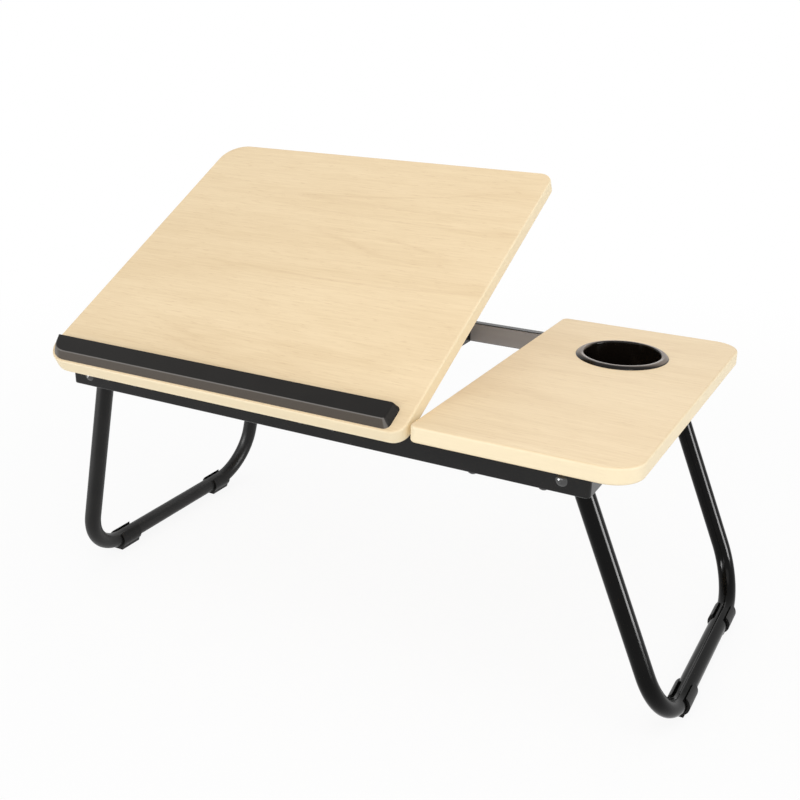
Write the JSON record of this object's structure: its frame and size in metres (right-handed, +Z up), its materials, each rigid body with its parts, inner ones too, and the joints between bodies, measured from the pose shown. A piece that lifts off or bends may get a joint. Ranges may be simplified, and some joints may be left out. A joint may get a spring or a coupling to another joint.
{
  "type": "portable desk",
  "caption": "Folding lap desk with a tilting board, stop bar and a fixed side board with cup holder, on a steel tube frame with folding U legs.",
  "frame": {"origin": "on the floor midway between the left and the right feet, and midway between front and rear", "axes": "+X to the user's right along the front edge, +Y away from the user, +Z up"},
  "size_m": [0.663, 0.3723, 0.4281],
  "materials": {
    "maple_board": "pale maple foil over fibreboard, satin, with eased edges",
    "black_paint": "gloss black powder coat",
    "black_rivet": "gloss black domed head",
    "stop_plastic": "matte black with a fine moulded texture",
    "black_plastic": "satin black moulded",
    "cup_plastic": "gloss black moulded",
    "zinc_steel": "bright zinc plate"
  },
  "bodies": {
    "frame": {"front_rail": "black_paint", "rear_rail": "black_paint", "left_end_rail": "black_paint", "right_end_rail": "black_paint", "centre_rail": "black_paint", "left_prop_rack": "black_plastic", "right_prop_rack": "black_plastic", "rack_screws": "zinc_steel", "side_panel": "maple_board", "side_panel_screws": "black_rivet", "cup_holder": "cup_plastic", "left_hinge_fixed_leaf": "black_paint", "right_hinge_fixed_leaf": "black_paint", "left_hinge_pin": "black_paint", "right_hinge_pin": "black_paint", "fixed_leaf_screws": "black_rivet", "left_leg_rivets": "black_rivet", "right_leg_rivets": "black_rivet", "pivot_bushes": "black_plastic"},
    "left_leg": {"left_leg_tube": "black_paint", "left_front_foot": "black_plastic", "left_rear_foot": "black_plastic"},
    "right_leg": {"right_leg_tube": "black_paint", "right_front_foot": "black_plastic", "right_rear_foot": "black_plastic"},
    "tilt_top": {"tilt_panel": "maple_board", "stop_bar": "stop_plastic", "stop_bar_screws": "zinc_steel", "left_hinge_moving_leaf": "black_paint", "right_hinge_moving_leaf": "black_paint", "moving_leaf_screws": "zinc_steel", "left_prop_clip": "black_plastic", "right_prop_clip": "black_plastic", "prop_clip_screws": "zinc_steel"},
    "prop": {"prop_bail": "zinc_steel"}
  },
  "joints": [
    {"name": "left_leg_fold", "type": "hinge", "parent": "frame", "child": "left_leg", "pos_m": [-0.27009, 0, 0.2397], "axis": [0, -1, 0], "range_deg": [0, 97]},
    {"name": "right_leg_fold", "type": "hinge", "parent": "frame", "child": "right_leg", "pos_m": [0.22532, 0, 0.2397], "axis": [0, 1, 0], "range_deg": [0, 101.5]},
    {"name": "board_tilt", "type": "hinge", "parent": "frame", "child": "tilt_top", "pos_m": [0, -0.1719, 0.248], "axis": [1, 0, 0], "range_deg": [-27.7, 6]},
    {"name": "prop_swing", "type": "hinge", "parent": "tilt_top", "child": "prop", "pos_m": [0, -0.04445, 0.31491], "axis": [1, 0, 0], "range_deg": [-12.1, 55.5]}
  ],
  "couplings": [
    {"joint": "prop_swing", "follows": "board_tilt", "ratio": -2}
  ]
}
